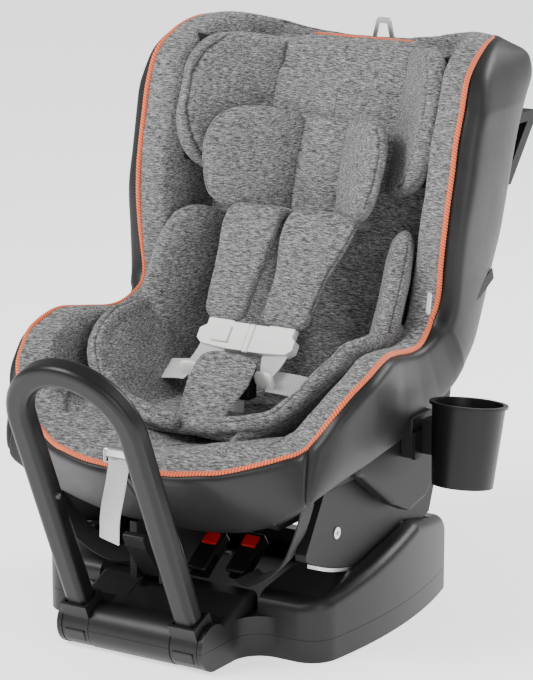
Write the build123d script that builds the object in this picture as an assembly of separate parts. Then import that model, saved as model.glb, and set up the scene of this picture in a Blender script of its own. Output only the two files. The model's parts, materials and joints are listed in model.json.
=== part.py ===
from build123d import *
import os
from math import asin, atan2, degrees

# Convertible child car seat. Millimetres. +Z up, z = 0 is the vehicle seat under the base,
# x = 0 is the symmetry plane and the child faces -Y, so the child's left hand is at +X.

# ---- driving dimensions --------------------------------------------------------------------
SEAT_HALF = 218        # half width of the padded bucket over its side covers
SHELL_HALF = 203       # half width of the plastic bucket inside the covers
SHELL_INNER = 192      # half width inside the bucket walls
PAD_HALF = 183         # half width between the padded wing faces
COVER = 12             # thickness of the leatherette cover and its wadding
GAP = 0.4              # clearance between parts that move past each other
RECLINE_Y, RECLINE_Z = -40, 432    # centre that the seat rocks about
ROCKER_R = 348         # radius of the rocker plates' curved lower edge
ROCKER_X = (160, 174)  # the plates' inner and outer faces
BACK_TILT = 19         # degrees that the backrest leans
BACK = Location((0, 60, 250), (-BACK_TILT, 0, 0))   # backrest frame: y = depth, z = up the back
ROLL_Y, ROLL_Z, ROLL_R = -265, 27, 27               # front roll that the bar hinges on
PARTING_Z = 26         # split between the base's lower tray and upper cover
NOSE_HALF = 98         # half width of the base's nose
POD_REAR = 145         # rear end of the base's side pods
BAR_HALF = 73          # half spacing of the bar's legs
BAR_LEAN = 23.5        # degrees that the bar leans forwards
BAR_LEG = 290          # from the hinge axis to the centre of the arch
BAR_W, BAR_D = 28, 26  # the bar's section
WEB_W, WEB_T = 38, 1.6 # harness webbing
CUP_X, CUP_Y, CUP_Z = 270, -13, 178                 # centre of the cup holder's floor
CUP_H, CUP_R_TOP, CUP_R_LOW = 92, 42, 35
CUP_TILT = 8

parts = {}


# ---- helpers -------------------------------------------------------------------------------
def outline(points, radius=None):
    """A closed flat face through points, with its corners rounded."""
    wire = Polyline(*points, close=True) if radius is None else FilletPolyline(
        *points, radius=radius, close=True)
    return make_face(wire)


def shrink(points, inset):
    """The corners of a polygon moved inwards, each edge by inset; points run anticlockwise."""
    corners = []
    for i, here in enumerate(points):
        before, after = Vector(*points[i - 1]), Vector(*points[(i + 1) % len(points)])
        first, second = (Vector(*here) - before).normalized(), (after - Vector(*here)).normalized()
        inward = (Vector(-first.Y, first.X) + Vector(-second.Y, second.X)).normalized()
        lean = max(0.5, inward.dot(Vector(-first.Y, first.X)))
        corners.append(Vector(*here) + inward * (inset / lean))
    return [(c.X, c.Y) for c in corners]


def slab_x(points, x0, x1, radius=None):
    """A side profile of (y, z) points, extruded from x0 to x1."""
    face = Plane.YZ.offset(x0) * outline(points, radius)
    return extrude(face, x1 - x0)


def slab_y(points, y0, y1, radius=None):
    """A front profile of (x, z) points, extruded from y0 to y1."""
    face = Plane((0, y0, 0), x_dir=(1, 0, 0), z_dir=(0, -1, 0)) * outline(points, radius)
    return extrude(face, y0 - y1)


def block(x0, x1, y0, y1, z0, z1, radius=0.0):
    """A box between two corners, with every edge rounded by radius."""
    box = Pos((x0 + x1) / 2, (y0 + y1) / 2, (z0 + z1) / 2) * Box(x1 - x0, y1 - y0, z1 - z0)
    return fillet(box.edges(), radius) if radius else box


def rod_x(x0, x1, y, z, radius):
    """A round bar along x."""
    return Pos((x0 + x1) / 2, y, z) * Rot(0, 90, 0) * Cylinder(radius, x1 - x0)


def other_side(part):
    return mirror(part, about=Plane.YZ)


def strap(a, b, width=WEB_W, thick=WEB_T, across=(1, 0, 0)):
    """A straight run of webbing from point a to point b, its width along across."""
    start, end = Vector(*a), Vector(*b)
    along = end - start
    plane = Plane(start, x_dir=across, z_dir=along)
    return extrude(plane * Rectangle(width, thick), along.length)


def both(name, right):
    """Store a part at +X and its mirror image, as NAME_left and NAME_right of the child."""
    parts[name + "_left"] = right
    parts[name + "_right"] = other_side(right)


# ---- base ----------------------------------------------------------------------------------
def rocker_disc(radius, x0, x1):
    return rod_x(x0, x1, RECLINE_Y, RECLINE_Z, radius)


def make_base():
    nose = slab_x([(-265, 0), (-265, 40), (-240, 50), (-200, 68), (-176, 68), (-176, 0)],
                  -NOSE_HALF, NOSE_HALF)
    nose = fillet([e for e in nose.edges() if abs(abs(e.center().X) - NOSE_HALF) < 0.01
                   and e.center().Z > 41], 7)
    roll = rod_x(-NOSE_HALF, NOSE_HALF, ROLL_Y, ROLL_Z, ROLL_R)
    pod_side = [(-192, -60), (-196, 70), (-88, 88), (24, 112), (130, 90), (152, -60)]
    edge = (Line((108, POD_REAR), (108, -192)) + Line((108, -192), (188, -192))
            + ThreePointArc((188, -192), (199, -30), (168, POD_REAR))
            + Line((168, POD_REAR), (108, POD_REAR)))
    pod_plan = make_face(edge)
    pod_plan = fillet([v for v in pod_plan.vertices() if v.X > 150], 34)
    pod = extrude(pod_plan, 120) & slab_x(pod_side, 100, 230, 26)
    top_rim = [e for e in pod.edges() if e.center().Z > 55 and e.center().X > 150
               and e.bounding_box().size.Z < 40]
    pod = fillet(top_rim, 14)
    corner = (Line((90, -226), (NOSE_HALF, -226))
              + ThreePointArc((NOSE_HALF, -226), (NOSE_HALF + 10, -202), (NOSE_HALF + 34, -192))
              + Line((NOSE_HALF + 34, -192), (NOSE_HALF + 34, -176))
              + Line((NOSE_HALF + 34, -176), (90, -176)) + Line((90, -176), (90, -226)))
    web = extrude(make_face(corner), 47)
    pods = pod + web + other_side(pod) + other_side(web)
    nose_plan = [(NOSE_HALF, -330), (NOSE_HALF, -120), (-NOSE_HALF, -120), (-NOSE_HALF, -330)]
    roll_and_nose = extrude(outline(nose_plan, 12), 200)
    floor = block(-112, 112, -180, 125, 0, PARTING_Z - 4)
    rear = slab_x([(70, 0), (70, 40), (84, 52), (112, 48), (124, 0)], -112, 112)
    whole = ((nose + roll) & roll_and_nose) + pods + floor + rear
    whole -= rocker_disc(ROCKER_R + 5, ROCKER_X[0] - 3, ROCKER_X[1] + 3)
    whole -= rocker_disc(ROCKER_R + 5, -ROCKER_X[1] - 3, -ROCKER_X[0] + 3)
    for side in (-1, 1):
        whole -= Pos(side * BAR_HALF, ROLL_Y, 30) * Box(37, 2 * ROLL_R + 8, 90)
    whole -= rod_x(1 - NOSE_HALF, NOSE_HALF - 1, ROLL_Y, ROLL_Z, 6)
    upper = whole & block(-260, 260, -320, 200, PARTING_Z + GAP, 200)
    lower = whole & block(-260, 260, -320, 200, 0, PARTING_Z)
    slope = Location((0, -219, 58.5), (24.2, 0, 0))
    recess = slope * Box(84, 26, 4)
    parts["base_nameplate"] = slope * Pos(0, 0, -0.8) * Box(83, 25, 2)
    upper -= recess
    spots = [(150, -150), (150, 90), (-150, -150), (-150, 90)]
    feet = [Pos(x, y, 1.5) * Cylinder(14, 3) for x, y in spots]
    for foot in feet:
        lower -= foot
    parts["base_lower_tray"] = lower
    parts["base_upper_cover"] = upper
    parts["base_grip_pads"] = Compound(feet)
    parts["bar_axle"] = rod_x(1.5 - NOSE_HALF, NOSE_HALF - 1.5, ROLL_Y, ROLL_Z, 5.95)
    tracks = []
    for x0, x1 in (ROCKER_X, (-ROCKER_X[1], -ROCKER_X[0])):
        ring = rocker_disc(ROCKER_R + 4.8, x0, x1) - rocker_disc(ROCKER_R + 0.8, x0, x1)
        tracks.append(ring & block(-220, 220, -170, 62, 60, 200))
    parts["recline_tracks"] = Compound([t.solid() for t in tracks])
    screws = [Pos(x, y, 30) * Cylinder(4, 2) for x in (-80, 80) for y in (-150, 40)]
    parts["base_screws"] = Compound([Pos(0, 0, -7) * s for s in screws])


# ---- anti-rebound bar ----------------------------------------------------------------------
BAR = Location((0, ROLL_Y, ROLL_Z), (BAR_LEAN, 0, 0))    # bar frame: z = up the legs


def make_bar():
    path = (Line((BAR_HALF, 0, 22), (BAR_HALF, 0, BAR_LEG))
            + ThreePointArc((BAR_HALF, 0, BAR_LEG), (0, 0, BAR_LEG + BAR_HALF),
                            (-BAR_HALF, 0, BAR_LEG))
            + Line((-BAR_HALF, 0, BAR_LEG), (-BAR_HALF, 0, 22)))
    section = Plane((BAR_HALF, 0, 22)) * RectangleRounded(BAR_W, BAR_D, 8)
    parts["bar_tube"] = BAR * sweep(section, path=path)
    knuckle = Rot(0, 90, 0) * Cylinder(ROLL_R - 0.5, 35) + Pos(0, 0, 20) * Box(35, 34, 34)
    knuckle = Pos(BAR_HALF, 0, 0) * knuckle
    knuckle -= Rot(0, 90, 0) * Cylinder(6, 400)
    knuckle -= Pos(BAR_HALF, 0, 60) * Box(BAR_W + 0.2, BAR_D + 0.2, 76)
    pocket = Pos(BAR_HALF, -21, 2) * Box(26.6, 14, 14.6)
    tab = Pos(BAR_HALF, -22.5, 2) * Box(26, 10, 14)
    both("bar_knuckle", BAR * (knuckle - pocket))
    both("bar_button", BAR * fillet(tab.edges(), 1.2))
    screws = [BAR * Pos(side * (BAR_HALF - BAR_W / 2 - 0.9), 0, 185) * Rot(0, 90, 0)
              * Cylinder(3.5, 1.8) for side in (-1, 1)]
    parts["bar_screws"] = Compound(screws)


# ---- bucket --------------------------------------------------------------------------------
RIM = [(-290, 223), (-254, 238), (-222, 262), (-204, 290), (-178, 313), (-146, 329),
       (-108, 338), (-60, 333), (5, 327), (30, 338), (44, 362), (49, 451), (60, 518),
       (78, 586), (96, 624), (122, 643), (160, 654)]
REAR = [(228, 648), (256, 628), (262, 606), (246, 590), (184, 414), (148, 344), (100, 278)]
BELLY = [(88, 210), (60, 140), (-200, 140), (-240, 160)]
CAVITY = [(-256, 208), (-210, 162), (52, 160), (76, 212), (88, 288), (128, 352), (166, 424),
          (226, 594), (238, 628), (243, 642), (243, 720), (-256, 720)]
WALL = 8               # thickness of the plastic bucket
BACK_SLOPE = (246 - 184) / (590 - 414)


def rear_y(z):
    """The y of the bucket's rear face at height z."""
    return 184 + (z - 414) * BACK_SLOPE


def plan_prism(inset=0.0):
    """The bucket seen from above: a round nose and straight sides."""
    half, front, shoulder = SEAT_HALF - inset, -291 + inset, (110 - 0.35 * inset, -271 + inset)
    corner = (170 - 0.8 * inset, -236 + 0.6 * inset)
    curve = [ThreePointArc((-shoulder[0], shoulder[1]), (0, front), shoulder),
             ThreePointArc(shoulder, corner, (half, -172)),
             Polyline((half, -172), (half, 320), (-half, 320), (-half, -172)),
             ThreePointArc((-half, -172), (-corner[0], corner[1]), (-shoulder[0], shoulder[1]))]
    return extrude(make_face(Curve() + curve), 720, dir=(0, 0, 1))


def section_prism(inset=0.0):
    """The bucket seen from the front: a narrow rounded belly under wide sides."""
    half = [(0, 140 + inset), (140, 140 + inset), (186 - inset, 190), (200 - inset, 216),
            (216 - inset, 290), (SEAT_HALF + 4 - inset, 330), (SEAT_HALF - inset, 720)]
    return slab_y(half + [(-x, z) for x, z in reversed(half[1:])], 320, -320)


def bucket(inset=0.0):
    solid = slab_x(shrink(RIM + REAR + BELLY, -inset), -230, 230)
    return solid & plan_prism(inset) & section_prism(inset)


def make_bucket():
    outer = bucket()
    inner = bucket(COVER)
    cavity = inside(0)
    hip = [(-150, 214), (-114, 200), (-46, 152), (-6, 134), (32, 142), (58, 168), (92, 262),
           (60, 268)]
    skirt = slab_x(hip, 184, 200, 10)
    skirt = fillet([e for e in skirt.edges() if abs(e.center().X - 200) < 0.01
                    and e.center().Z < 205], 6)
    shell = inner - cavity
    shell = max((shell + skirt + other_side(skirt)).solids(), key=lambda s: s.volume)
    parts["seat_shell"] = shell
    # the side covers lie outside the plastic, from the piping to the lower edge
    side_cover = (outer - inner) & (slab_x(
        [(-239, 201), (-300, 190), (-300, 330), (-204, 330), (-160, 420), (-20, 720), (300, 720),
         (300, 560), (90, 266), (76, 266), (-34, 229), (-156, 215)], SHELL_HALF + 0.3, 260))
    both("side_cover", max(side_cover.solids(), key=lambda s: s.volume))
    front = (outer - inner) & block(-197, 197, -320, -206, 120, 262)
    front -= slab_x([(-292, 226), (-250, 242), (-206, 262), (-206, 300), (-320, 300),
                     (-320, 226)], -230, 230)
    parts["front_cover"] = max(front.solids(), key=lambda s: s.volume)
    # the padded wings line the walls and roll over their edges as far as the piping
    lining = slab_x([(-204, 262), (-204, 290)] + RIM[4:] + REAR[:4] + [(120, 420), (70, 262)],
                    PAD_HALF, SHELL_HALF)
    lining = (lining & outer) - shell - inner_back()
    both("wing_pad", max(lining.solids(), key=lambda s: s.volume))


def inside(inset):
    """The space inside the plastic bucket, less inset all round its belly and walls."""
    half = SHELL_INNER - inset
    space = slab_x(shrink(CAVITY, inset), -half, half)
    return space & section_prism(COVER + WALL + inset) & plan_prism(COVER + WALL + inset)


def inner_back():
    """Everything behind the bucket's inner rear wall."""
    return slab_x(CAVITY[3:10] + [(400, 720), (400, 200)], -230, 230)


# ---- rocker plates -------------------------------------------------------------------------
def make_rockers():
    x0, x1 = ROCKER_X
    blank = slab_x([(-196, 70), (-196, 128), (-156, 192), (-156, 240), (141, 276), (132, 234),
                    (104, 158), (70, 70)], x0, x1)
    plate = (blank & rocker_disc(ROCKER_R, x0, x1)) - bucket(COVER - 0.3)
    plate -= rod_x(x0 - 1, x1 + 1, 70, 138, 9)
    bolt_spots = [(-130, 137), (20, 104)]
    for y, z in bolt_spots:
        plate -= rod_x(x1 - 2.5, x1 + 1, y, z, 7)
    both("rocker_plate", max(plate.solids(), key=lambda s: s.volume))
    bolts = []
    for y, z in bolt_spots:
        bolt = rod_x(x1 - 2.5, x1 + 1.2, y, z, 6.8) - rod_x(x1 - 0.8, x1 + 2, y, z, 2.5)
        bolts += [bolt, other_side(bolt)]
    parts["rocker_bolts"] = Compound([b.solid() for b in bolts])


# ---- cushions ------------------------------------------------------------------------------
def make_cushions():
    room = inside(0.4)
    foam = slab_x([(-262, 204), (-214, 150), (50, 150), (90, 213), (96, 289), (136, 353),
                   (174, 425), (181, 448), (143, 448), (67, 226), (50, 185), (-206, 185),
                   (-250, 206)], -148, 148)
    parts["impact_foam"] = foam & room
    seat = slab_x([(-262, 213), (-249, 207), (-205, 185.5), (38, 185.5), (46, 206), (-118, 206),
                   (-230, 226), (-258, 222)], -182, 182)
    parts["seat_cushion"] = seat & room
    parts["back_cushion"] = BACK * block(-150, 150, 4, 14, -20, 210, 4)
    crown = BACK * block(-125, 125, -13.5, 3.4, -34, 188, 3)
    base_pad = block(-138, 138, -104, 45, 206.3, 226, 6)
    roll = rod_x(-104, 104, -96, 229, 15)
    side = slab_x([(-60, 220), (-44, 300), (8, 424), (30, 450), (72, 442), (90, 400),
                   (72, 320), (44, 220)], 122, 170, 8)
    insert = crown + base_pad + roll + side + other_side(side)
    insert -= BACK * block(-151, 151, 3.7, 60, -60, 260)
    insert -= block(-30, 30, -120, -62, 206.3, 260)
    parts["insert_cushion"] = insert
    ends = [(52, -288, 224), (110, -271, 230), (166, -238, 246), (200, -212, 274),
            (218, -180, 311), (224, -148, 329), (221, -108, 341), (210, -60, 336),
            (204, 4, 330), (202, 36, 346), (206, 47, 384), (210, 48, 451), (212, 60, 520),
            (213, 76, 586), (208, 104, 634), (200, 140, 654), (196, 200, 656)]
    route = [(-x, y - 2, z + 2) for x, y, z in reversed(ends)]
    route += [(0, -293, 225)] + [(x, y - 2, z + 2) for x, y, z in ends]
    path = FilletPolyline(*route, radius=14)
    cord = sweep(Plane(path @ 0, z_dir=path % 0) * Circle(3), path=path)
    parts["rim_piping"] = cord


# ---- harness -------------------------------------------------------------------------------
PAD_TOP, PAD_LOW = (42, 42, 446), (40, -22, 340)     # shoulder pad's front face, at its ends


def make_harness():
    lean = degrees(asin((PAD_TOP[1] - PAD_LOW[1]) / 124))
    slope = Location((42, 13, 393), (-lean, 0, 0))
    pad = slope * Box(60, 18, 124)
    both("shoulder_pad", fillet(pad.edges(), 6))
    low, top = (43, -54, 296), (40, -22, 338)
    right = strap(low, top)
    upper = strap((43, 42, 449), (44, 66, 453))
    straps = [right, other_side(right), upper, other_side(upper)]
    parts["shoulder_straps"] = Compound([s.solid() for s in straps])
    lap = strap((61, -56, 280), (114, -8, 254), across=(0.2, 0.3, 0.93))
    parts["lap_straps"] = Compound([lap.solid(), other_side(lap).solid()])
    parts["crotch_strap"] = block(-19, 19, -78, -76.4, 227, 256)
    buckle = block(-27, 27, -82, -62, 257, 300, 4)
    button = block(-11, 11, -85, -76, 266, 282, 1.5)
    buckle -= block(-11.4, 11.4, -86, -72.6, 265.6, 282.4)
    tongue = Location((43, -66, 288), (0, 24, 0)) * Box(30, 3, 26)
    buckle -= block(24, 30, -69, -63, 270, 302) + block(-30, -24, -69, -63, 270, 302)
    parts["buckle_body"] = buckle
    parts["buckle_button"] = button
    parts["buckle_tongues"] = Compound([tongue.solid(), other_side(tongue).solid()])
    # the chest clip lies on the straps, which pass through a slot in each of its halves
    run = Vector(*top) - Vector(*low)
    on_straps = Location((0, (low[1] + top[1]) / 2, (low[2] + top[2]) / 2),
                         (-degrees(atan2(run.Y, run.Z)), 0, 0))
    half = slab_y([(0.5, -17), (0.5, 17), (24, 17), (58, 9), (65, 4), (65, -8), (58, -14),
                   (22, -17)], 4, -9, 2)
    tab = block(24, 59, -7, 4, 8, 20, 1.5)
    half = half + tab - block(20.5, 61.8, -1.3, 1.3, -30, 30)
    ridge = block(0.5, 8, -11, -6, -19, 17, 1.5)
    pocket = block(-44.4, -21.6, -12, -3.4, -10.4, 10.4)
    parts["chest_clip_left"] = on_straps * (half + ridge)
    parts["chest_clip_right"] = on_straps * (other_side(half) - pocket)
    parts["chest_clip_button"] = on_straps * block(-44, -22, -12, -5.6, -10, 10, 1.5)
    parts["crotch_pad"] = block(-29, 29, -106, -86, 227, 308, 8)
    parts["harness_adjuster"] = block(-26, 26, -300, -285, 229.6, 248, 3) - block(
        -21, 21, -302, -283, 233, 239)
    parts["adjuster_lever"] = block(-18, 18, -303.5, -300.4, 240, 248, 0.8)
    tail = [(-286, 237), (-303, 237), (-309, 222), (-319, 144), (-317.4, 144), (-307.4, 221),
            (-302, 235), (-286, 235)]
    parts["adjuster_strap"] = slab_x(tail, -WEB_W / 2, WEB_W / 2)


# ---- headrest ------------------------------------------------------------------------------
EAR = Location((130, -41, 0), (0, 0, -45.6))       # middle plane of an ear, in the back frame
EAR_THICK = 24
CHEEK = Location((76, -57, 0), (0, 0, -41.7))      # the same of a cheek of the pillow


def make_headrest():
    shell = block(-104, 104, 20, 30, 232, 408, 4)
    plate = EAR * block(-80, 52, EAR_THICK / 2 + GAP, EAR_THICK / 2 + 6.4, 240, 394, 2.5)
    parts["headrest_shell"] = BACK * (shell + plate + other_side(plate))
    pad = block(-84, 84, 4, 19.7, 230, 410, 7)
    ear = EAR * block(-60, 60, -EAR_THICK / 2, EAR_THICK / 2, 236, 402, 10)
    parts["headrest_pad"] = BACK * (pad + ear + other_side(ear))
    cheek = CHEEK * block(-52, 54, -14, 14, 192, 310, 11)
    pillow = block(-60, 60, -26, 3.7, 190, 314, 9) + cheek + other_side(cheek)
    parts["head_pillow"] = BACK * pillow
    handle = block(-44, 44, 30.3, 36.3, 396, 408, 2)
    parts["headrest_handle"] = BACK * handle


# ---- fittings ------------------------------------------------------------------------------
def make_cup_holder():
    axis = Location((CUP_X, CUP_Y, CUP_Z), (-CUP_TILT, 0, 0))
    wall = 2.6
    profile = outline([(0, 0), (CUP_R_LOW, 0), (CUP_R_TOP, CUP_H), (CUP_R_TOP + 3, CUP_H),
                       (CUP_R_TOP + 3, CUP_H + 3), (CUP_R_TOP - wall, CUP_H + 3),
                       (CUP_R_LOW - wall, 3), (0, 3)])
    cup = axis * revolve(Plane.XZ * profile, Axis.Z)
    plate = block(216.4, 221, -36, 16, 206, 238)
    neck = block(220, CUP_X - 28, -20, 0, 210, 250)
    inner = axis * revolve(Plane.XZ * outline([(0, 3), (CUP_R_LOW - wall, 3), (
        CUP_R_TOP - wall, CUP_H + 3), (CUP_R_TOP - wall, CUP_H + 30), (0, CUP_H + 30)]), Axis.Z)
    parts["cup_holder"] = cup + plate + (neck - inner)
    bracket = block(200.3, 216, -34, 14, 206, 254, 1.5)
    parts["cup_bracket"] = bracket
    parts["side_cover_left"] -= block(190, 230, -34.6, 14.6, 190, 254.6)


def make_anchors():
    """Lower anchor connectors on a webbing loop under the seat front."""
    connector = block(-13, 13, -32, 26, -9, 9, 3)
    connector -= block(-20, 20, -40, -4, -5, 5)
    connector -= block(-9.4, 9.4, 4, 20.4, 2, 12)
    button = block(-9, 9, 4.4, 20, 4.4, 11.5, 1)
    left = Location((58, -132, 92), (35, 0, 0))
    right = Location((14, -146, 92), (35, 0, 0))
    for side, place in (("left", left), ("right", right)):
        parts["anchor_connector_" + side] = place * connector
        parts["anchor_button_" + side] = place * button
    web = slab_y([(84, 139.7), (110, 139.7), (122, 118), (104, 96), (76, 92), (76, 94.5),
                  (103, 98.5), (119, 118), (108, 137), (84, 137)], -88, -126)
    parts["anchor_webbing"] = Compound([web.solid(), other_side(web).solid()])


def make_tether():
    z0, z1 = 450, 588
    y0, y1 = rear_y(z0), rear_y(z1)
    run = slab_x([(y0 + 0.3, z0), (y1 + 0.3, z1), (y1 + 2.3, z1), (y0 + 2.3, z0)], -19, 19)
    parts["tether_strap"] = run
    ring = slab_y([(-15, 612), (15, 612), (15, 634), (9, 658), (-9, 658), (-15, 634)],
                  272, 269, 4)
    ring -= slab_y([(-9, 620), (9, 620), (9, 634), (5, 651), (-5, 651), (-9, 634)], 273, 268)
    parts["tether_hook"] = ring + block(-15, 15, 262.5, 272, 600, 613)
    parts["tether_gate"] = block(-8.6, 8.6, 269.4, 271.6, 620.4, 624.4, 0.5)


def make_grips():
    z0, z1 = 478, 556
    shape = slab_x([(rear_y(z0) + 0.3, z0), (232, 478), (292, 548), (290, 560),
                    (rear_y(z1) + 0.3, 560), (rear_y(z1) + 0.3, 548), (272, 548),
                    (226, 494), (rear_y(494) + 0.3, 494)], 178, 198)
    parts["rear_grips"] = Compound([shape.solid(), other_side(shape).solid()])


def make_recline_lever():
    arm = slab_x([(-214, 76), (-246, 118), (-252, 132), (-244, 137), (-238, 124), (-206, 84)],
                 -34, -6, 3)
    parts["recline_lever"] = arm + rod_x(-34, -6, -208, 81, 7)
    parts["recline_bracket"] = (block(-44, -35, -222, -196, 72, 139.6)
                                + block(-5, 4, -222, -196, 72, 139.6))


def make_elastic():
    band = slab_x([(52, 352), (52, 366), (160, 392), (160, 378)], SEAT_HALF + 0.3,
                  SEAT_HALF + 1.8)
    parts["elastic_straps"] = Compound([band.solid(), other_side(band).solid()])


os.makedirs("parts", exist_ok=True)
for make in (make_base, make_bar, make_bucket, make_rockers, make_cushions, make_harness,
             make_headrest, make_cup_holder, make_anchors, make_tether, make_grips,
             make_recline_lever, make_elastic):
    make()
for name, part in parts.items():
    export_step(part, f"parts/{name}.step")
    print(name, round(part.volume / 1000, 1))
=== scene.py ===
import json
import math
import bmesh
import bpy
import numpy as np
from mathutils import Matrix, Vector, noise


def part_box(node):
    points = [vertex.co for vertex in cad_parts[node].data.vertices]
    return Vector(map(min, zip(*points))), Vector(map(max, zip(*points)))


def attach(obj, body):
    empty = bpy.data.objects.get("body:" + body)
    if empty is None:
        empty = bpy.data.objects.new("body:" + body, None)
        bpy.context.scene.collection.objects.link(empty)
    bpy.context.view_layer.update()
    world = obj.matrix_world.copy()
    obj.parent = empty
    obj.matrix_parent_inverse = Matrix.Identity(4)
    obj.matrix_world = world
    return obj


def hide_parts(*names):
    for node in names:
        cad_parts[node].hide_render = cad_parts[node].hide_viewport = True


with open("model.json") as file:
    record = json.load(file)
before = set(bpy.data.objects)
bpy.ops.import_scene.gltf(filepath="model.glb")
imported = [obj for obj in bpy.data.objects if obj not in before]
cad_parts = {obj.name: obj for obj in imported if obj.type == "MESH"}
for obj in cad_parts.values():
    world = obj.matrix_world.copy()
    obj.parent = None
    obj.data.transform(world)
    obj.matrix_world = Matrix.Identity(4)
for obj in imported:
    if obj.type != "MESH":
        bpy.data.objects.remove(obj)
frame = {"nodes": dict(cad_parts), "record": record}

# Looks of the convertible car seat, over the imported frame. Shapes are written in millimetres
# in the frame's axes and turned into metres by put().
MM = 0.001
LEAN = math.radians(19)                       # the backrest's lean
BACK_Y, BACK_Z = 60, 250                      # foot of the backrest
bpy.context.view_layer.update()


# ---- shape helpers -------------------------------------------------------------------------
def back(x, v, w):
    """A point given by x, depth v behind the backrest's face and height w up it."""
    return (x, BACK_Y + math.sin(LEAN) * w + math.cos(LEAN) * v,
            BACK_Z + math.cos(LEAN) * w - math.sin(LEAN) * v)


def turn(x, v, w):
    """A direction in the backrest's axes."""
    return (x, math.sin(LEAN) * w + math.cos(LEAN) * v,
            math.cos(LEAN) * w - math.sin(LEAN) * v)


def resample(rows, count, close_ends=False):
    """Rows of numbers along a smooth curve; the first three numbers of a row are its point."""
    p = np.asarray(rows, float)
    ext = np.vstack([2 * p[0] - p[1], p, 2 * p[-1] - p[-2]])
    t = np.linspace(0, 1, 24, endpoint=False)[:, None]
    dense = []
    for i in range(1, len(ext) - 2):
        a, b, c, d = ext[i - 1:i + 3]
        dense.append(0.5 * (2 * b + (c - a) * t + (2 * a - 5 * b + 4 * c - d) * t ** 2
                            + (3 * b - a - 3 * c + d) * t ** 3))
    dense = np.vstack(dense + [p[-1:]])
    run = np.r_[0, np.cumsum(np.linalg.norm(np.diff(dense[:, :3], axis=0), axis=1))]
    share = np.linspace(0, 1, count)
    if close_ends:                            # more rows near the ends, where a pad rounds off
        share = 0.6 * share + 0.4 * (1 - np.cos(np.pi * share)) / 2
    at = share * run[-1]
    return np.column_stack([np.interp(at, run, dense[:, k]) for k in range(dense.shape[1])]), at


def put(name, verts, faces, mat, body="seat", uv=None):
    """A smooth mesh object made from millimetre points."""
    me = bpy.data.meshes.new(name)
    me.from_pydata((np.asarray(verts, float) * MM).tolist(), [], faces)
    me.materials.append(mat)
    if uv is not None:
        layer = me.uv_layers.new(name="UVMap")
        loops = np.empty(len(me.loops), int)
        me.loops.foreach_get("vertex_index", loops)
        layer.data.foreach_set("uv", (np.asarray(uv, float) * MM)[loops].ravel())
    me.shade_smooth()
    obj = bpy.data.objects.new(name, me)
    bpy.context.collection.objects.link(obj)
    obj["ride_on"] = body
    return obj


def weld(obj):
    """Joins points that fall together, and turns every face outwards."""
    bm = bmesh.new()
    bm.from_mesh(obj.data)
    bmesh.ops.remove_doubles(bm, verts=bm.verts, dist=0.02 * MM)
    bmesh.ops.recalc_face_normals(bm, faces=bm.faces)
    bm.to_mesh(obj.data)
    bm.free()
    return obj


def grid_faces(rows, cols, closed=False, flip=False):
    """Quads over rows by cols points; closed joins the last column to the first."""
    wrap = cols if closed else cols - 1
    faces = []
    for i in range(rows - 1):
        for j in range(wrap):
            k = (j + 1) % cols
            quad = (i * cols + j, i * cols + k, (i + 1) * cols + k, (i + 1) * cols + j)
            faces.append(quad[::-1] if flip else quad)
    return faces


def grid(name, pts, mat, body="seat", closed=False, flip=False):
    """A surface through a grid of points, with a UV map in real lengths."""
    pts = np.asarray(pts, float)
    n, m = pts.shape[:2]
    u = np.zeros((n, m))
    v = np.zeros((n, m))
    u[:, 1:] = np.cumsum(np.linalg.norm(np.diff(pts, axis=1), axis=2), axis=1)
    v[1:] = np.cumsum(np.linalg.norm(np.diff(pts, axis=0), axis=2), axis=0)
    uv = np.dstack([u, v]).reshape(-1, 2)
    return put(name, pts.reshape(-1, 3), grid_faces(n, m, closed, flip), mat, body, uv)


def soft(name, stations, mat, power=2.6, steps=70, around=48, cap=12, body="seat"):
    """A closed pad along stations of (centre, half width vector, half thickness vector).

    power squares its section off, and cap is how far from its ends it starts to round off."""
    rows, run = resample([tuple(c) + tuple(a) + tuple(b) for c, a, b in stations], steps, True)
    c, a, b = rows[:, :3], rows[:, 3:6], rows[:, 6:9]
    near = np.minimum(run, run[-1] - run)
    k = np.sqrt(np.clip(1 - (1 - np.clip(near / cap, 0, 1)) ** 2, 0, 1))
    width = np.linalg.norm(a, axis=1)
    ka = np.clip(width - cap * (1 - k), 0.2, None) / width
    kb = np.clip(k, 0.02, 1)
    th = np.linspace(0, 2 * np.pi, around, endpoint=False)
    ca = np.sign(np.cos(th)) * np.abs(np.cos(th)) ** (2 / power)
    sb = np.sign(np.sin(th)) * np.abs(np.sin(th)) ** (2 / power)
    pts = (c[:, None] + (ka[:, None] * a)[:, None] * ca[None, :, None]
           + (kb[:, None] * b)[:, None] * sb[None, :, None])
    n, m = pts.shape[:2]
    uv = np.dstack([np.broadcast_to(ca * width.mean(), (n, m)),
                    np.broadcast_to(run[:, None], (n, m))]).reshape(-1, 2)
    faces = grid_faces(n, m, True)
    faces += [tuple(range(m))[::-1], tuple((n - 1) * m + j for j in range(m))]
    return weld(put(name, pts.reshape(-1, 3), faces, mat, body, uv))


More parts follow.
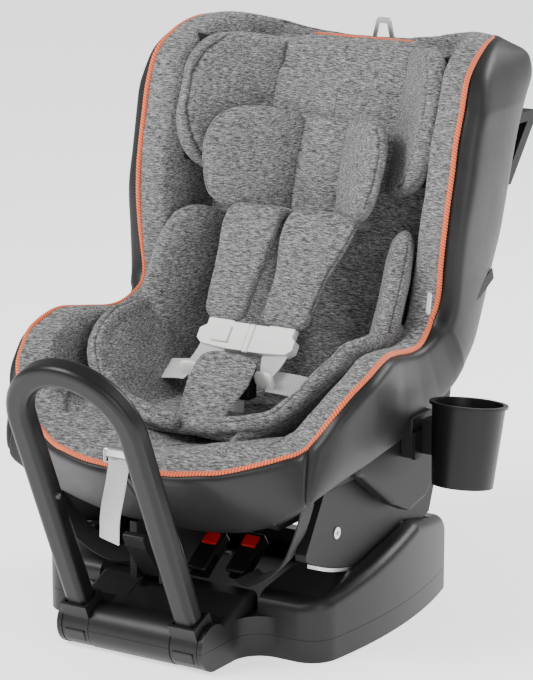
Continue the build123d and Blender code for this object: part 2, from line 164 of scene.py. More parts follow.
def quilt(name, pts, thick, edge, mat, body="seat"):
    """A stuffed panel about a grid of points, rounded off all round its border."""
    pts = np.asarray(pts, float)
    n, m = pts.shape[:2]
    du = np.gradient(pts, axis=0)
    dv = np.gradient(pts, axis=1)
    normal = np.cross(du, dv)
    normal /= np.linalg.norm(normal, axis=2)[..., None] + 1e-9
    run_u = np.cumsum(np.linalg.norm(du, axis=2), axis=0)
    run_v = np.cumsum(np.linalg.norm(dv, axis=2), axis=1)
    far = np.minimum.reduce([run_u - run_u[:1], run_u[-1:] - run_u,
                             run_v - run_v[:, :1], run_v[:, -1:] - run_v])
    h = thick / 2 * np.sqrt(np.clip(1 - (1 - np.clip(far / edge, 0, 1)) ** 2, 0, 1))
    verts = np.vstack([(pts + normal * h[..., None]).reshape(-1, 3),
                       (pts - normal * h[..., None]).reshape(-1, 3)])
    faces = grid_faces(n, m)
    faces += [tuple(n * m + k for k in f[::-1]) for f in faces]
    uv = np.dstack([run_v, run_u]).reshape(-1, 2)
    return weld(put(name, verts, faces, mat, body, np.vstack([uv, uv])))


def ease(t, first=0.0, last=1.0):
    """A smooth step from 0 at first to 1 at last."""
    t = np.clip((np.asarray(t, float) - first) / (last - first), 0, 1)
    return t * t * (3 - 2 * t)


def ribbon(name, points, width, thick, across, mat, steps=60, body="seat"):
    """Flat webbing through points; across is the direction of its width."""
    rows, _ = resample(points, steps)
    tang = np.gradient(rows, axis=0)
    stations = []
    for p, t in zip(rows, tang):
        t = Vector(t).normalized()
        a = Vector(across)
        a = (a - t * a.dot(t)).normalized()
        b = t.cross(a).normalized()
        stations.append((p, a * width / 2, b * thick / 2))
    return soft(name, stations, mat, power=7, steps=steps, around=28, cap=thick / 2, body=body)


def coords(obj):
    """A piece's points, in millimetres, and their normals."""
    me = obj.data
    co = np.empty(len(me.vertices) * 3)
    no = np.empty(len(me.vertices) * 3)
    me.vertices.foreach_get("co", co)
    me.vertices.foreach_get("normal", no)
    return co.reshape(-1, 3) / MM, no.reshape(-1, 3)


def set_coords(obj, co):
    obj.data.vertices.foreach_set("co", (np.asarray(co, float) * MM).ravel())
    obj.data.update()


def seam(obj, points, depth=2.0, width=2.4, count=60):
    """A stitched groove along points, and painted shade that darkens the cloth in it."""
    co, no = coords(obj)
    path, _ = resample(points, count)
    path = np.array([co[np.argmin(np.linalg.norm(co - p, axis=1))] for p in path])
    start, step = path[:-1], np.diff(path, axis=0)
    best = np.full(len(co), 1e9)
    for s, d in zip(start, step):
        t = np.clip(((co - s) @ d) / max(d @ d, 1e-9), 0, 1)
        best = np.minimum(best, np.linalg.norm(co - s - t[:, None] * d, axis=1))
    dent = np.exp(-(best / width) ** 2)
    set_coords(obj, co - no * (depth * dent)[:, None])
    me = obj.data
    # painted shade: how much the cloth is darkened in and beside the groove
    groove_shade = me.attributes.get("seam") or me.attributes.new("seam", "FLOAT", "POINT")
    old = np.empty(len(me.vertices))
    groove_shade.data.foreach_get("value", old)
    groove_shade.data.foreach_set("value", np.maximum(old, np.exp(-(best / (0.6 * width)) ** 2)))


def rumple(obj, height, length, seed):
    """Low, uneven swells in stuffed cloth: one noise, and a finer one at half its height."""
    co, no = coords(obj)
    lift = np.array([noise.noise(Vector((p[0] / length + seed, p[1] / length, p[2] / length)))
                     for p in co])
    lift += 0.5 * np.array([noise.noise(Vector((p[0] / length * 2.3 + seed + 7,
                                                p[1] / length * 2.3, p[2] / length * 2.3)))
                            for p in co])
    set_coords(obj, co + no * (height * lift)[:, None])


def flipped(rows):
    """The same stations on the other side."""
    return [(-r[0],) + tuple(r[1:]) for r in rows]


# ---- materials -----------------------------------------------------------------------------
class Nodes:
    """A short way to write a node tree."""
    def __init__(self, name):
        self.mat = bpy.data.materials.new(name)
        self.mat.use_nodes = True
        self.tree = self.mat.node_tree
        self.shader = self.tree.nodes["Principled BSDF"]
        self.space = self.add("ShaderNodeTexCoord")

    def add(self, kind, ins=None, **props):
        node = self.tree.nodes.new(kind)
        for key, value in props.items():
            setattr(node, key, value)
        for key, value in (ins or {}).items():
            self.wire(value, node.inputs[key])
        return node

    def wire(self, value, socket):
        if isinstance(value, bpy.types.NodeSocket):
            self.tree.links.new(value, socket)
        else:
            socket.default_value = value

    def set(self, **values):
        for key, value in values.items():
            self.wire(value, self.shader.inputs[key.replace("_", " ")])

    def scaled(self, scale, source="Object"):
        return self.add("ShaderNodeMapping", {"Vector": self.space.outputs[source],
                                              "Scale": scale}).outputs["Vector"]

    def noise(self, scale, detail=3.0, rough=0.6, source="Object"):
        return self.add("ShaderNodeTexNoise", {"Vector": self.scaled(scale, source),
                                               "Scale": 1.0, "Detail": detail,
                                               "Roughness": rough}).outputs["Fac"]

    def ramp(self, fac, stops):
        node = self.add("ShaderNodeValToRGB", {"Fac": fac})
        line = node.color_ramp
        while len(line.elements) < len(stops):
            line.elements.new(0.5)
        for element, (at, colour) in zip(line.elements, stops):
            element.position = at
            element.color = tuple(colour) + (1,) if len(colour) == 3 else colour
        return node.outputs["Color"]

    def maths(self, kind, a, b=0.0):
        node = self.add("ShaderNodeMath", operation=kind)
        self.wire(a, node.inputs[0])
        self.wire(b, node.inputs[1])
        return node.outputs[0]

    def bump(self, height, strength, distance=0.001, below=None):
        ins = {"Height": height, "Strength": strength, "Distance": distance}
        if below is not None:
            ins["Normal"] = below
        return self.add("ShaderNodeBump", ins).outputs["Normal"]

    def mix(self, fac, a, b, kind="MIX"):
        node = self.add("ShaderNodeMix", data_type="RGBA", blend_type=kind)
        self.wire(fac, node.inputs[0])
        self.wire(a, node.inputs[6])
        self.wire(b, node.inputs[7])
        return node.outputs[2]


def grey(v):
    return (v, v, v, 1)


def fabric(name, dark=0.014, mid=0.135, light=0.50):
    """Melange upholstery cloth: short light and dark slubs that lie across the seat, and painted
    shade along its sewn grooves.
    """
    n = Nodes(name)
    slubs = n.noise((140, 200, 1100), 4, 0.7)
    grains = n.noise((1300, 1500, 1700), 2, 0.6)
    both = n.maths("ADD", n.maths("MULTIPLY", slubs, 0.6), n.maths("MULTIPLY", grains, 0.4))
    colour = n.ramp(both, [(0.40, (dark,) * 3), (0.48, (mid * 0.8,) * 3),
                           (0.54, (mid * 1.75,) * 3), (0.62, (light,) * 3)])
    # painted shade: the cloth is mixed towards near black along its sewn grooves
    groove_shade = n.add("ShaderNodeAttribute", attribute_name="seam").outputs["Fac"]
    colour = n.mix(n.maths("MULTIPLY", groove_shade, 0.72), colour, grey(0.02))
    n.set(Base_Color=colour, Roughness=0.92, Specular_IOR_Level=0.2, Sheen_Weight=0.12,
          Sheen_Roughness=0.5,
          Normal=n.bump(grains, 0.5, 0.0006, n.bump(slubs, 0.55, 0.0012)))
    return n.mat


def leather(name, value=0.011):
    """Smooth black leatherette with a fine pebbled grain."""
    n = Nodes(name)
    cells = n.add("ShaderNodeTexVoronoi", {"Vector": n.scaled((1, 1, 1)), "Scale": 620.0},
                  feature="SMOOTH_F1").outputs["Distance"]
    cloud = n.noise((60, 60, 60), 3)
    n.set(Base_Color=n.ramp(cloud, [(0.3, (value * 0.9,) * 3), (0.7, (value * 1.15,) * 3)]),
          Roughness=n.maths("ADD", n.maths("MULTIPLY", cloud, 0.1), 0.40),
          Specular_IOR_Level=0.32, Normal=n.bump(cells, 0.22, 0.0005))
    return n.mat


def plastic(name, value, rough=0.45, grain=0.12, scale=900, spec=0.3, coat=0.0):
    """Moulded plastic with a fine spark-eroded grain."""
    colour = value if isinstance(value, tuple) else (value,) * 3
    n = Nodes(name)
    grit = n.noise((scale, scale, scale), 2, 0.5)
    cloud = n.noise((18, 18, 18), 3, 0.5)
    n.set(Base_Color=n.ramp(cloud, [(0.3, tuple(c * 0.93 for c in colour)),
                                    (0.7, tuple(min(1, c * 1.06) for c in colour))]),
          Roughness=n.maths("ADD", n.maths("MULTIPLY", grit, 0.12), rough - 0.06),
          Specular_IOR_Level=spec, Coat_Weight=coat, Coat_Roughness=0.2,
          Normal=n.bump(grit, grain, 0.0004))
    return n.mat


def webbing(name, value):
    """Woven strap: ribs across it and two finer lines along each edge."""
    colour = value if isinstance(value, tuple) else (value,) * 3
    n = Nodes(name)
    uv = n.scaled((1, 1, 1), "UV")
    ribs = n.add("ShaderNodeTexWave", {"Vector": uv, "Scale": 190.0, "Distortion": 1.2,
                                       "Detail": 1.0, "Detail Scale": 3.0},
                 bands_direction="Y").outputs["Fac"]
    warp = n.add("ShaderNodeTexWave", {"Vector": uv, "Scale": 120.0, "Distortion": 0.6,
                                       "Detail": 1.0}, bands_direction="X").outputs["Fac"]
    weave = n.maths("ADD", n.maths("MULTIPLY", ribs, 0.6), n.maths("MULTIPLY", warp, 0.4))
    n.set(Base_Color=n.ramp(weave, [(0.1, tuple(c * 0.55 for c in colour)),
                                    (0.6, colour), (0.95, tuple(min(1, c * 1.2)
                                                                for c in colour))]),
          Roughness=0.75, Specular_IOR_Level=0.3, Sheen_Weight=0.1,
          Normal=n.bump(weave, 0.6, 0.0008))
    return n.mat


def piping_cord(name):
    """Twisted orange cord, with painted shade in the grooves of its twist and a painted
    highlight on its ridges.
    """
    n = Nodes(name)
    fuzz = n.noise((1600, 1600, 1600), 2)
    groove_shade = n.add("ShaderNodeAttribute", attribute_name="twist").outputs["Fac"]
    # painted shade and highlight: darker orange in the twist's grooves, lighter orange on its
    # ridges
    bright = n.ramp(groove_shade, [(0.0, (0.42, 0.06, 0.018)), (0.4, (0.72, 0.13, 0.045)),
                           (1.0, (0.86, 0.20, 0.08))])
    n.set(Base_Color=bright, Roughness=0.7, Specular_IOR_Level=0.3, Sheen_Weight=0.2,
          Normal=n.bump(fuzz, 0.35, 0.0006))
    return n.mat


def metal(name, value=0.62, rough=0.28):
    """Steel with a brushed grain."""
    n = Nodes(name)
    brush = n.noise((900, 60, 60), 3)
    n.set(Base_Color=grey(value), Metallic=1.0,
          Roughness=n.maths("ADD", n.maths("MULTIPLY", brush, 0.2), rough - 0.08),
          Normal=n.bump(brush, 0.06, 0.0003))
    return n.mat


def foam_cloth(name, value):
    """Moulded bead foam."""
    n = Nodes(name)
    beads = n.add("ShaderNodeTexVoronoi", {"Vector": n.scaled((1, 1, 1)), "Scale": 320.0})
    n.set(Base_Color=n.ramp(beads.outputs["Distance"], [(0.1, (value,) * 3),
                                                        (0.8, (value * 0.7,) * 3)]),
          Roughness=0.85, Normal=n.bump(beads.outputs["Distance"], 0.3, 0.0008))
    return n.mat


M = {
    "base_plastic": plastic("base_plastic", 0.010, 0.40, 0.14, 1100),
    "bar_plastic": plastic("bar_plastic", 0.006, 0.36, 0.08, 1300),
    "shell_plastic": plastic("shell_plastic", 0.007, 0.50, 0.2, 800),
    "cup_plastic": plastic("cup_plastic", 0.004, 0.36, 0.06, 1200),
    "rubber_pad": plastic("rubber_pad", 0.012, 0.8, 0.3, 700),
    "bright_steel": metal("bright_steel"),
    "leatherette": leather("leatherette"),
    "grey_fabric": fabric("grey_fabric"),
    "foam": foam_cloth("foam", 0.05),
    "orange_piping": piping_cord("orange_piping"),
    "grey_webbing": webbing("grey_webbing", 0.62),
    "black_webbing": webbing("black_webbing", 0.010),
    "clip_plastic": plastic("clip_plastic", (0.80, 0.80, 0.78), 0.34, 0.05, 900),
    "connector_plastic": plastic("connector_plastic", 0.008, 0.42, 0.12, 900),
    "red_plastic": plastic("red_plastic", (0.62, 0.012, 0.010), 0.26, 0.04, 900, coat=0.3),
}

slot_of = {s["node"]: s["material_slot"] for s in frame["record"]["subparts"]}
for node, obj in frame["nodes"].items():
    obj.data.materials.clear()
    obj.data.materials.append(M[slot_of[node]])


def finish_piece(obj, stands_for=()):
    """Hides the CAD nodes that a piece stands for and attaches the piece to the body it moves
    with.
    """
    if stands_for:
        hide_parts(*stands_for)
    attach(obj, obj["ride_on"])


def thicken(obj, mm, offset):
    """Gives a surface a thickness, on the outside (1) or on the inside (-1)."""
    mod = obj.modifiers.new("thickness", "SOLIDIFY")
    mod.thickness = mm * MM
    mod.offset = offset
    return obj


# ---- the bucket's covers -------------------------------------------------------------------
# stations along the rim: the piping's line, and the covers' lower edge straight below it
RIM = [(0, -290, 223), (52, -288, 224), (90, -280, 228), (111, -271, 230), (141, -254, 238),
       (166, -237, 246), (184, -222, 253), (196, -215, 268), (210, -202, 292),
       (218, -180, 311), (224, -154, 326), (221, -111, 338), (211, -71, 334),
       (205, -27, 327), (203, 2, 328), (199, 28, 339), (198, 39, 350), (200, 45, 362),
       (203, 48, 383), (206, 48, 417), (209, 49, 451), (211, 53, 485), (212, 60, 518),
       (212, 68, 554), (213, 78, 586), (211, 94, 622), (207, 122, 642), (201, 156, 654),
       (192, 192, 656), (172, 218, 653), (140, 234, 646), (100, 241, 639), (56, 244, 635),
       (0, 245, 634)]
LOW = [(0, -213, 140), (56, -213, 142), (98, -214, 148), (125, -219, 157), (155, -228, 170),
       (180, -236, 185), (193, -239, 195), (200, -232, 203), (203, -195, 210),
       (204, -156, 215), (204, -115, 219), (204, -75, 223), (204, -34, 229), (203, 10, 240),
       (203, 45, 253), (203, 76, 266), (202, 92, 278), (201, 104, 287), (200, 124, 305),
       (200, 150, 348), (200, 170, 388), (201, 186, 420), (201, 202, 466), (202, 222, 530),
       (202, 243, 580), (202, 262, 606), (202, 258, 626), (200, 250, 634), (190, 256, 634),
       (168, 262, 630), (138, 262, 627), (100, 262, 625), (56, 262, 624), (0, 262, 624)]
# where each rim station's cross line meets the seat's middle line, as (y, z)
MIDDLE = [(-222, 229), (-218, 229), (-208, 228), (-196, 226), (-182, 223), (-168, 220),
          (-156, 217), (-146, 215), (-128, 214), (-110, 213), (-90, 212), (-62, 212),
          (-38, 212), (-8, 213), (18, 216), (42, 228), (54, 242), (62, 258), (74, 296),
          (88, 342), (102, 386), (116, 428), (130, 466), (142, 504), (152, 540), (168, 588),
          (184, 612), (204, 622), (222, 628), (232, 631), (238, 633), (242, 634), (244, 634),
          (245, 634)]
LAST = len(RIM) - 1
CORNER = 6.6 / LAST                              # share of the stations where the front seam is
# how far the covers puff out at each rim station
PUFF = [9] * 7 + [11, 12, 13, 13, 10, 8, 7, 8, 14] + [23] * 9 + [18, 13, 8, 5, 3, 3, 3, 3, 3]


def cover_panel(name, first, last, rows_n, side):
    """Leatherette between two shares of the rim, puffed out, its edges turned in."""
    place = np.linspace(0, 1, 421)
    rim_at = resample_share(RIM, place)
    low_at = resample_share(LOW, place)
    pick = (place >= first) & (place <= last)
    rim, low = rim_at[pick], low_at[pick]
    fat = np.interp(place[pick] * LAST, range(LAST + 1), PUFF)
    run = np.gradient(low + rim, axis=0)
    out = np.column_stack([run[:, 1], -run[:, 0], np.zeros(len(run))])
    for _ in range(12):
        out[1:-1] = (out[:-2] + out[1:-1] + out[2:]) / 3
    out /= np.linalg.norm(out, axis=1)[:, None]
    t = np.linspace(0, 1, rows_n)
    puff = fat[:, None] * (1 - np.exp(-t / 0.03)) * (1 - t ** 3) ** 0.6
    tuck = 2 * np.exp(-(t / 0.02) ** 2) + 6 * np.exp(-((1 - t) / 0.03) ** 2)
    pts = (rim[:, None] * (1 - t)[None, :, None] + low[:, None] * t[None, :, None]
           + out[:, None] * (puff - tuck[None])[..., None])
    ends = np.linspace(0, 1, len(pts))
    for edge, at in ((first, ends), (last, 1 - ends)):
        if 0 < edge < 1:
            pts -= out[:, None] * (5 * np.exp(-(at * len(pts) / 2.5) ** 2))[:, None, None]
    if side < 0:
        pts[..., 0] *= -1
    obj = grid(name, pts, M["leatherette"], flip=side < 0)
    return thicken(obj, 2.5, 1.0)


def resample_share(points, place):
    """Points at shares of the station count, along a smooth curve through the stations."""
    p = np.asarray(points, float)
    ext = np.vstack([2 * p[0] - p[1], p, 2 * p[-1] - p[-2]])
    at = np.clip(place * (len(p) - 1), 0, len(p) - 1 - 1e-9)
    i = at.astype(int)
    t = (at - i)[:, None]
    a, b, c, d = ext[i], ext[i + 1], ext[i + 2], ext[i + 3]
    return 0.5 * (2 * b + (c - a) * t + (2 * a - 5 * b + 4 * c - d) * t ** 2
                  + (3 * b - a - 3 * c + d) * t ** 3)


def make_covers():
    """Two front halves and two side panels, each below its own length of the rim."""
    for name, side, nodes in (("front_r", 1, ["front_cover"]), ("front_l", -1, ())):
        obj = cover_panel(name, 0, CORNER, 40, side)
        rumple(obj, 1.2, 90, seed=3)
        finish_piece(obj, nodes)
    for word, side in (("left", 1), ("right", -1)):
        obj = cover_panel("side_panel_" + word, CORNER, 1, 60, side)
        rumple(obj, 1.4, 120, seed=side)
        finish_piece(obj, ["side_cover_" + word])


BAND = 27.0                # width of the lining's flat band inside the piping
WALL_WIDE = 34             # how far in from the band the lining's wall reaches the bottom


def make_lining():
    """The main fabric: from the piping in over a flat band, down the wall, across the seat."""
    rows_n, cols = 420, 150
    place = np.linspace(0, 1, rows_n)
    rim = resample_share(RIM, place)
    mid = resample_share([(0,) + m for m in MIDDLE], place)
    u = np.linspace(0, 1, cols) ** 1.15
    station = place * LAST
    wall = ease(station, 5, 11)                  # 0 on the open front, 1 where there is a wall
    pts = np.empty((rows_n, cols, 3))
    for i in range(rows_n):
        half = rim[i, 0]
        inner = half * (1 - u)
        span = half - inner                      # how far in from the rim
        steep = (0.04 * np.clip(span / BAND, 0, 1)
                 + 0.96 * ease(span, BAND, BAND + WALL_WIDE))
        g = wall[i] * steep + (1 - wall[i]) * u
        pts[i, :, 0] = inner
        pts[i, :, 1:] = rim[i, 1:] + (mid[i, 1:] - rim[i, 1:]) * g[:, None]
        roll = 3 * np.sin(np.pi * np.clip(span / (BAND * 1.25), 0, 1)) * wall[i]
        swell = 9 * np.sin(np.pi * np.clip(u / 0.9, 0, 1)) * (1 - wall[i])
        blend = np.clip((station[i] - 13) / 6, 0, 1)
        out = np.array([0, -0.1 - 0.7 * blend, 1 - 0.45 * blend])
        pts[i] += out * (roll + swell)[:, None]
    inside_rim = pts[70:235:15, 40]
    cushions = ["wing_pad_left", "wing_pad_right", "seat_cushion", "back_cushion"]
    for name, side, nodes in (("lining_left", 1, cushions), ("lining_right", -1, ())):
        obj = grid(name, pts * (side, 1, 1), M["grey_fabric"], flip=side < 0)
        rumple(obj, 1.6, 55, seed=side * 4)
        seam(obj, [tuple(p) for p in inside_rim * (side, 1, 1)], 2.0, 2.6, 120)
        thicken(obj, 4, -1.0)
        finish_piece(obj, nodes)


CORD_R, TWIST_R = 3.0, 0.3                       # the piping's radius, and its twist's height
TWIST_RUN = 3.6                                  # length over which the piping's twist repeats


def make_piping():
    """A twisted cord sewn along the rim."""
    whole = flipped(RIM[:0:-1]) + RIM
    rows, run = resample(whole, 3600)
    upright = ease(rows[:, 2], 345, 420)
    rows += np.column_stack([np.sign(rows[:, 0]) * 1.5 * ease(np.abs(rows[:, 0]), 40, 160),
                             -1 - 3.5 * upright, 3.0 - 2.2 * upright])
    tang = np.gradient(rows, axis=0)
    tang /= np.linalg.norm(tang, axis=1)[:, None]
    side = np.cross(tang, np.array([0.05, 0.6, 0.8]))
    side /= np.linalg.norm(side, axis=1)[:, None]
    up = np.cross(side, tang)
    around = 14
    th = np.linspace(0, 2 * np.pi, around, endpoint=False)
    turnover = 2 * np.pi * run / TWIST_RUN
    wave = np.cos(2 * (th[None] - turnover[:, None] / 2))
    radius = CORD_R + TWIST_R * wave
    pts = (rows[:, None] + side[:, None] * (radius * np.cos(th))[..., None]
           + up[:, None] * (radius * np.sin(th))[..., None])
    obj = grid("rim_cord", pts, M["orange_piping"], closed=True)
    # painted shade in the twist's grooves and painted highlight on its ridges, for the cord's
    # colour
    groove_shade = obj.data.attributes.new("twist", "FLOAT", "POINT")
    groove_shade.data.foreach_set("value", (0.5 + 0.5 * wave).ravel())
    finish_piece(obj, ["rim_piping"])


# ---- headrest ------------------------------------------------------------------------------
def make_headrest():
    """The padded headrest with its ears, and the pillow on it."""
    fab = M["grey_fabric"]
    side = [(174, -86, 290, 350), (169, -80, 264, 373), (159, -70, 245, 390),
            (144, -54, 233, 400), (124, -34, 228, 405), (104, -13, 227, 407),
            (91, 0, 227, 408), (74, 6, 227, 409), (40, 8, 228, 410)]
    whole = [(x, v, 0, lo, hi) for x, v, lo, hi in side] + [(0, 9, 0, 228, 410)]
    whole += [(-x, v, 0, lo, hi) for x, v, lo, hi in side[::-1]]
    rows, _ = resample(whole, 190)
    share = np.linspace(0, 1, 80)
    pts = [[back(x, v, lo + (hi - lo) * k) for k in share] for x, v, _, lo, hi in rows]
    pad = quilt("headrest_cover", pts, 24, 12, fab, "headrest")
    for s in (1, -1):
        seam(pad, [back(s * 84, -8, w) for w in (236, 290, 350, 402)], 3.6, 3.0)
        seam(pad, [back(s * 138, -64, 392), back(s * 152, -80, 370), back(s * 159, -88, 338),
                   back(s * 159, -88, 304), back(s * 151, -80, 270), back(s * 136, -64, 244),
                   back(s * 118, -44, 236)], 2.8, 2.4)
    seam(pad, [back(-6, -4, 408), back(-4, -5, 392)], 1.5, 1.6)
    rumple(pad, 1.3, 45, seed=11)
    finish_piece(pad, ["headrest_pad"])

    # pillow: a middle pad and two cheeks that reach forwards from it
    mid = [(back(0, -14, w), turn(half, 0, 0), turn(0, t, 0))
           for w, half, t in ((184, 38, 8), (206, 44, 12), (250, 46, 13), (290, 50, 12),
                              (316, 48, 8))]
    pillow = soft("pillow_middle", mid, fab, power=2.6, steps=64, around=72, cap=14,
                  body="headrest")
    rumple(pillow, 1.2, 30, seed=21)
    finish_piece(pillow, ["head_pillow"])
    for s in (1, -1):
        rows = []
        for w, reach, thick in ((184, 38, 8), (200, 50, 13), (230, 56, 15), (262, 58, 15),
                                (290, 54, 14), (306, 44, 12), (316, 32, 8)):
            direction = Vector((0.747, -0.665, 0))
            cx, cv = 34 + direction.x * reach, -20 + direction.y * reach
            rows.append((back(s * cx, cv, w), turn(s * direction.x * reach,
                                                   direction.y * reach, 0),
                         turn(s * direction.y * -thick, direction.x * thick, 0)))
        cheek = soft("pillow_cheek_" + ("left" if s > 0 else "right"), rows, fab, power=2.7,
                     steps=70, around=84, cap=20, body="headrest")
        seam(cheek, [back(s * 106, -92, 300), back(s * 122, -104, 270),
                     back(s * 122, -104, 232), back(s * 110, -94, 196)], 1.4, 1.8)
        rumple(cheek, 1.4, 32, seed=31 + s)
        finish_piece(cheek)


# ---- infant insert -------------------------------------------------------------------------
def make_insert():
    """The infant insert: torso bolsters, back, seat part and its sewn rolls."""
    fab = M["grey_fabric"]
    for s in (1, -1):
        rows = []
        for w, x_rear, v_rear, x_front, v_front, thick in (
                (-30, 110, -20, 146, -92, 10), (0, 114, -14, 157, -103, 14),
                (50, 116, -10, 166, -102, 16), (100, 118, -8, 168, -96, 16),
                (150, 118, -8, 164, -84, 15), (188, 116, -8, 154, -64, 11)):
            cx, cv = (x_rear + x_front) / 2, (v_rear + v_front) / 2
            ax, av = (x_front - x_rear) / 2, (v_front - v_rear) / 2
            n = Vector((-av, ax, 0)).normalized() * thick
            rows.append((back(s * cx, cv, w), turn(s * ax, av, 0), turn(s * n.x, n.y, 0)))
        bolster = soft("torso_bolster_" + ("left" if s > 0 else "right"), rows, fab, power=2.8,
                       steps=80, around=64, cap=18)
        seam(bolster, [back(s * (x + 6), v, w) for x, v, w in (
            (152, -96, -16), (162, -106, 20), (171, -104, 60), (173, -98, 100),
            (169, -88, 140), (160, -74, 172))], 1.6, 1.9)
        rumple(bolster, 1.6, 38, seed=41 + s)
        finish_piece(bolster)
    crown = soft("insert_back", [
        (back(0, -5, w), turn(half, 0, 0), turn(0, 9, 0))
        for w, half in ((-34, 112), (40, 120), (120, 122), (196, 116))], fab, power=4,
        steps=70, around=72, cap=16)
    rumple(crown, 1.4, 40, seed=51)
    finish_piece(crown, stands_for=["insert_cushion"])
    # the seat part lies on the cushion and turns up against both sides
    sides = [(-177, 243, 98, -158, 256), (-165, 244, 132, -150, 280),
             (-140, 240, 150, -142, 299), (-110, 236, 160, -120, 315),
             (-70, 232, 165, -85, 329), (-20, 230, 168, -35, 331), (20, 230, 167, 10, 329),
             (48, 236, 162, 42, 326)]
    at = np.linspace(0, 1, 90)
    run = resample_share([(0, a, b) for a, b, *_ in sides], at)
    rim = resample_share([(c, d, e) for *_, c, d, e in sides], at)
    across = np.linspace(-1, 1, 140)
    lift = ease(np.abs(across), 0.52, 1.02)
    pts = np.empty((len(at), len(across), 3))
    pts[..., 0] = rim[:, :1] * across
    for k in (1, 2):
        pts[..., k] = run[:, k, None] + (rim[:, k] - run[:, k])[:, None] * lift
    base = quilt("insert_seat", pts, 20, 10, fab)
    rumple(base, 2.4, 42, seed=52)
    finish_piece(base)
    # a roll is sewn along the seat part's edge, on each side
    edge = [(156, 50, 327), (161, 12, 332), (162, -34, 334), (159, -84, 332), (154, -118, 318),
            (143, -140, 301), (126, -151, 282), (100, -162, 264), (64, -171, 256),
            (30, -177, 252), (5, -174, 250)]
    for s in (1, -1):
        path, _ = resample([(s * x, y, z) for x, y, z in edge], 40)
        flat = ease(np.linspace(0, 1, 40), 0.45, 0.75)
        rows, line = [], []
        for p, t, f in zip(path, np.gradient(path, axis=0), flat):
            up = Vector((-0.84 * s * (1 - f), 0, 0.55 + 0.45 * f)).normalized()
            wide = Vector(t).cross(up).normalized()
            up = wide.cross(Vector(t)).normalized()
            if up.z < 0:
                up = -up
            rows.append((p, wide * 12.5, up * 10))
            outward = wide if wide.dot(Vector((s, -1, 0))) > 0 else -wide
            line.append(tuple(Vector(p) + outward * 9 + up * 7))
        roll = soft("seat_roll_" + ("left" if s > 0 else "right"), rows, fab, power=2.3,
                    steps=130, around=44, cap=13)
        seam(roll, line[3:-2:3], 1.8, 1.9, 160)
        rumple(roll, 1.6, 24, seed=61 + s)
        finish_piece(roll)


# ---- harness -------------------------------------------------------------------------------
def make_harness():
    """Shoulder covers, webbing, tongues, crotch cover and the adjuster's pull strap."""
    fab, web = M["grey_fabric"], M["grey_webbing"]
    for s, word in ((1, "left"), (-1, "right")):
        spread = 10 if s > 0 else 0            # the left pad is opened out at its top
        spots = [(44, 100, 436, 34, 9), (44, 72, 445, 36, 9), (44 + spread / 2, 48, 448, 37, 10),
                 (43 + spread / 2, 30, 430, 37, 10), (42 + spread / 3, 8, 394, 32, 10),
                 (42, -18, 352, 28, 10), (41, -28, 334, 25, 8)]
        mids = np.array([(s * x, y, z) for x, y, z, _, _ in spots], float)
        rows = []
        for (x, y, z, half, thick), p, t in zip(spots, mids, np.gradient(mids, axis=0)):
            wide = Vector((s, 0, 0))
            nrm = wide.cross(Vector(t)).normalized()
            half += spread * (0.9 if y > 20 else 0.3)
            rows.append((p, wide * half, nrm * thick))
        pad = soft("shoulder_cover_" + word, rows, fab, power=3.2, steps=110, around=60, cap=12)
        for k in (-3.5, 4):
            seam(pad, [(s * (x + half + (spread * (0.9 if y > 20 else 0.3)) - 1), y - k * 0.7,
                        z + k * 0.7) for x, y, z, half, _ in spots[2:6]], 1.3, 1.4)
        rumple(pad, 1.2, 30, seed=71 + s)
        finish_piece(pad, stands_for=["shoulder_pad_" + word])
        front = soft("shoulder_strap_" + word, [
            ((s * 40, -18.4, 340.8), (19, 0, 0), (0, -0.7, 0.5)),
            ((s * 41, -36.4, 320.8), (19, 0, 0), (0, -0.7, 0.5)),
            ((s * 44, -57, 300.2), (16, 0, 3 * s), (0, -0.6, 0.6)),
            ((s * 50, -80, 287), (9, -2 * s, 3 * s), (0, -0.5, 0.7))], web, power=7, steps=60,
            around=28, cap=0.8)
        finish_piece(front,
                     stands_for=["shoulder_straps"] if s > 0 else ())
        lap = ribbon("lap_strap_" + word, [(s * 50, -80, 285), (s * 78, -64, 279),
                                           (s * 108, -46, 271), (s * 146, -22, 262)],
                     34, 1.7, (0.05 * s, 0.9, 0.42), web)
        finish_piece(lap, stands_for=["lap_straps"] if s > 0 else ())
        tongue = soft("tongue_" + word, [((s * x, -85 - 0.1 * (x - 50), 286), (0, -3, h),
                                          (0, -3, -1)) for x, h in (
            (36, 7), (42, 10), (52, 11), (60, 10), (64, 7))], M["clip_plastic"], power=2.6,
            steps=40, around=32, cap=5)
        finish_piece(tongue, stands_for=["buckle_tongues"] if s > 0 else ())
    crotch = ribbon("crotch_web", [(0, -78, 262), (0, -80, 246), (0, -82, 226)], 38, 1.7,
                    (1, 0, 0), web)
    finish_piece(crotch, stands_for=["crotch_strap"])
    dome = soft("crotch_cover", [
        ((x, y, z), (half, 0, -0.08 * half), (0, -t * 0.82, -t * 0.5 + 2))
        for x, y, z, half, t in (
            (2, -150, 250, 28, 8), (5, -136, 266, 33, 12), (9, -120, 286, 38, 14),
            (11, -104, 304, 38, 13), (11, -90, 313, 31, 9))], fab, power=2.5, steps=64,
        around=64, cap=15)
    for k in range(5):
        seam(dome, [(36 - 3 * k, -92 - 5 * k, 311 - 6 * k), (44 - k, -104 - 5 * k, 296 - 8 * k),
                    (47 - k, -106 - 4 * k, 284 - 8 * k)], 1.6, 1.5)
    rumple(dome, 1.4, 24, seed=81)
    finish_piece(dome, stands_for=["crotch_pad"])
    tail = ribbon("adjuster_tail", [(0, -284, 236), (0, -298, 239), (0, -306, 230),
                                    (-2, -310, 208), (-7, -313, 176), (-8, -314, 146)],
                  38, 1.7, (0.93, -0.36, 0), web)
    finish_piece(tail, stands_for=["adjuster_strap"])


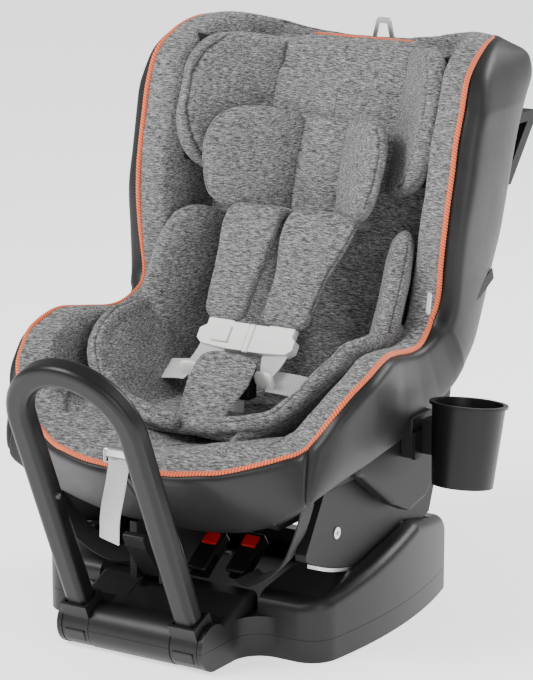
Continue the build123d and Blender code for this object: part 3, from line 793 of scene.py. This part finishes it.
def make_straps():
    """Black webbing: tether, lower anchor loops and the elastic straps at the sides."""
    black = M["black_webbing"]
    low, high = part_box("tether_strap")
    y0, y1, z0, z1 = low[1] / MM, high[1] / MM, low[2] / MM, high[2] / MM
    tether = ribbon("tether_web", [(0, y0 + 1, z0), (0, (y0 + y1) / 2, (z0 + z1) / 2),
                                   (0, y1 - 1, z1 + 14)], 38, 2, (1, 0, 0), black)
    finish_piece(tether, stands_for=["tether_strap"])
    for s, word in ((1, "left"), (-1, "right")):
        loop = ribbon("anchor_web_" + word, [
            (s * 188, -214, 208), (s * 181, -208, 182), (s * 166, -200, 148),
            (s * 147, -191, 117), (s * 123, -186, 95), (s * 97, -178, 81), (s * 72, -158, 78)],
            30, 2.4, (0, 1, 0.25), black)
        finish_piece(loop, stands_for=["anchor_webbing"] if s > 0 else ())
        band = ribbon("elastic_" + word, [(s * 208, 50, 358), (s * 221, 62, 362),
                                          (s * 224, 100, 372), (s * 219, 150, 388)],
                      14, 1.6, (0, -0.2, 0.97), black)
        finish_piece(band, stands_for=["elastic_straps"] if s > 0 else ())


def make_labels():
    """Blank sewn-in labels."""
    tag = soft("side_tag", [((203, 27, 386), (4.5, -4, 0), (0.4, 0.4, 0)),
                            ((202, 24, 362), (4.5, -4, 0), (0.4, 0.4, 0))],
               M["clip_plastic"], power=6, steps=20, around=24, cap=0.8)
    finish_piece(tag)


make_covers()
make_lining()
make_piping()
make_headrest()
make_insert()
make_harness()
make_straps()
make_labels()

# moulded edges catch the light
for node in ("base_upper_cover", "base_lower_tray", "rocker_plate_left", "rocker_plate_right",
             "rear_grips", "bar_knuckle_left", "bar_knuckle_right", "seat_shell",
             "anchor_connector_left", "anchor_connector_right", "cup_bracket"):
    edge = frame["nodes"][node].modifiers.new("edge", "BEVEL")
    edge.width = 1.2 * MM
    edge.segments = 2
    edge.limit_method = "ANGLE"
    edge.angle_limit = math.radians(40)

# ---- camera, light and floor ---------------------------------------------------------------
cam_data = bpy.data.cameras.new("camera")
cam = bpy.data.objects.new("camera", cam_data)
bpy.context.collection.objects.link(cam)
LOOK = Vector((0, 0, 0.3096))
DISTANCE, TOWARDS = 3.521, Vector((0.5142, -0.8229, 0.2419))     # from LOOK to the camera
cam.location = LOOK + DISTANCE * TOWARDS
cam.rotation_euler = (LOOK - cam.location).to_track_quat("-Z", "Y").to_euler()
cam_data.lens = 158.82
cam_data.sensor_width = 36
bpy.context.scene.camera = cam


def lamp(name, place, power, width):
    """A square soft light, aimed at the seat."""
    data = bpy.data.lights.new(name, "AREA")
    data.energy = power
    data.size = width
    obj = bpy.data.objects.new(name, data)
    bpy.context.collection.objects.link(obj)
    obj.location = place
    obj.rotation_euler = (LOOK - obj.location).to_track_quat("-Z", "Y").to_euler()
    return obj


lights = [lamp("key", (-1.3, -2.0, 2.5), 105, 1.3), lamp("fill", (2.4, -1.6, 1.3), 30, 1.6),
          lamp("rim", (1.4, 2.0, 1.9), 60, 1.2)]
bpy.ops.mesh.primitive_plane_add(size=14, location=(0, 0, 0))
floor = bpy.context.object
floor.name = "floor"
pale = Nodes("floor_paper")
pale.set(Base_Color=grey(0.93), Roughness=0.7, Specular_IOR_Level=0.15,
         Emission_Color=grey(1.0), Emission_Strength=1.3)
floor.data.materials.append(pale.mat)
world = bpy.data.worlds.new("studio")
world.use_nodes = True
world.node_tree.nodes["Background"].inputs["Color"].default_value = (1, 1, 1, 1)
world.node_tree.nodes["Background"].inputs["Strength"].default_value = 0.55
bpy.context.scene.world = world
